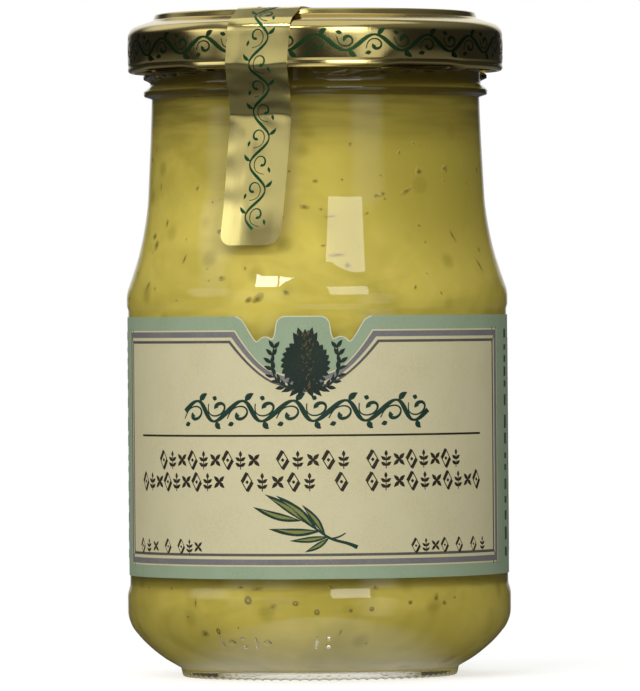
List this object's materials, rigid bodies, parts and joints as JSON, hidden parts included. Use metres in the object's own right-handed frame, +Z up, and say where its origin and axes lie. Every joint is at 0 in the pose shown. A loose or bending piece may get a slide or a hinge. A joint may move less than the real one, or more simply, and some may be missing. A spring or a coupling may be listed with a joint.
{
  "type": "mustard jar",
  "caption": "Round-shouldered clear glass jar of herb mustard, shut with a gold twist-off lid under a foil seal strip, with a wrap-round paper label.",
  "frame": {"origin": "centre of the jar's base, in the plane of its bearing ring", "axes": "+Z up along the jar's axis; the middle of the label faces -Y"},
  "size_m": [0.0624, 0.0622, 0.1079],
  "materials": {
    "clear_glass": "clear moulded glass",
    "mustard": "wet smooth paste with flecks of herb",
    "gold_tinplate": "tinplate under clear gold lacquer",
    "gold_foil": "satin gold foil laminate",
    "label_paper": "coated label paper"
  },
  "bodies": {
    "root": {"jar": "clear_glass", "mustard": "mustard", "lid": "gold_tinplate", "seal_strip": "gold_foil", "label": "label_paper"}
  },
  "joints": []
}
